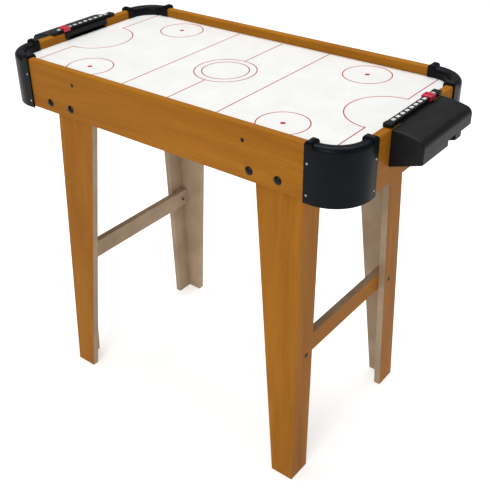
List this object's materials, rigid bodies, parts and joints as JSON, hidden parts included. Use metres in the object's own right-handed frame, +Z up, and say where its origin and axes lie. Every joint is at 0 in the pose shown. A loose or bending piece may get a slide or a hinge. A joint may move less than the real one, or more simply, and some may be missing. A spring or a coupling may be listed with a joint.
{
  "type": "air hockey table",
  "caption": "Small free-standing air hockey table with tapered wooden legs, rounded corner guards, goal hoods, sliding score markers and a blower under the playing surface.",
  "frame": {"origin": "on the floor under the middle of the table", "axes": "+X along the table's length to the right goal, +Y across to the far side with the switch, +Z up"},
  "size_m": [0.8, 0.3724, 0.6601],
  "materials": {
    "rail_wood": "honey laminate, satin",
    "leg_wood": "honey laminate outside, raw board inside",
    "raw_board": "raw fibreboard",
    "coated_board": "white coating with printed lines",
    "guard_plastic": "moulded, semi-gloss",
    "goal_plastic": "moulded, fine texture",
    "tile_plastic": "smooth",
    "slider_plastic": "smooth",
    "dark_steel": "black oxide",
    "zinc_steel": "zinc plated",
    "fan_plastic": "moulded",
    "rocker_plastic": "smooth",
    "bearing_bronze": "sintered bronze",
    "shaft_steel": "ground",
    "motor_iron": "core and windings",
    "lead_cover": "soft sheath"
  },
  "bodies": {
    "table": {"apron_far": "rail_wood", "apron_left": "rail_wood", "apron_near": "rail_wood", "apron_right": "rail_wood", "batten_far": "raw_board", "batten_left": "raw_board", "batten_near": "raw_board", "batten_right": "raw_board", "batten_screws": "dark_steel", "bottom_panel": "raw_board", "fan_bush": "bearing_bronze", "fan_frame": "fan_plastic", "fan_grille": "shaft_steel", "fan_lead": "lead_cover", "fan_screws": "zinc_steel", "fan_stator": "motor_iron", "goal_hood_left": "goal_plastic", "goal_hood_right": "goal_plastic", "goal_liner_left": "goal_plastic", "goal_liner_right": "goal_plastic", "guard_left_far": "guard_plastic", "guard_left_near": "guard_plastic", "guard_right_far": "guard_plastic", "guard_right_near": "guard_plastic", "guard_screws": "zinc_steel", "hood_screws": "zinc_steel", "inlet_pin": "shaft_steel", "lead_clips": "lead_cover", "leg_blocks": "raw_board", "leg_bolts": "dark_steel", "leg_end_left_far": "leg_wood", "leg_end_left_near": "leg_wood", "leg_end_right_far": "leg_wood", "leg_end_right_near": "leg_wood", "leg_nuts": "zinc_steel", "leg_side_left_far": "leg_wood", "leg_side_left_near": "leg_wood", "leg_side_right_far": "leg_wood", "leg_side_right_near": "leg_wood", "leg_washers": "zinc_steel", "panel_screws": "zinc_steel", "playing_surface": "coated_board", "power_inlet": "fan_plastic", "score_bar_left": "goal_plastic", "score_bar_right": "goal_plastic", "score_bar_screws": "dark_steel", "score_tiles_left": "tile_plastic", "score_tiles_right": "tile_plastic", "stretcher_bolts": "dark_steel", "stretcher_left": "leg_wood", "stretcher_nuts": "zinc_steel", "stretcher_right": "leg_wood", "switch_bezel": "fan_plastic", "switch_lead": "lead_cover"},
    "slider_right": {"score_slider_right": "slider_plastic"},
    "slider_left": {"score_slider_left": "slider_plastic"},
    "rocker": {"switch_rocker": "rocker_plastic"},
    "impeller": {"fan_impeller": "fan_plastic", "fan_shaft": "shaft_steel", "fan_magnet": "motor_iron"}
  },
  "joints": [
    {"name": "score_right", "type": "slide", "parent": "table", "child": "slider_right", "axis": [0, 1, 0], "range_m": [-0.104, 0.013]},
    {"name": "score_left", "type": "slide", "parent": "table", "child": "slider_left", "axis": [0, 1, 0], "range_m": [-0.013, 0.104]},
    {"name": "power_rocker", "type": "hinge", "parent": "table", "child": "rocker", "pos_m": [0.066, 0.1807, 0.588], "axis": [0, 0, 1], "range_deg": [-16, 0]},
    {"name": "fan_spin", "type": "hinge", "parent": "table", "child": "impeller", "pos_m": [0, 0, 0.59], "axis": [0, 0, 1], "continuous": true}
  ]
}
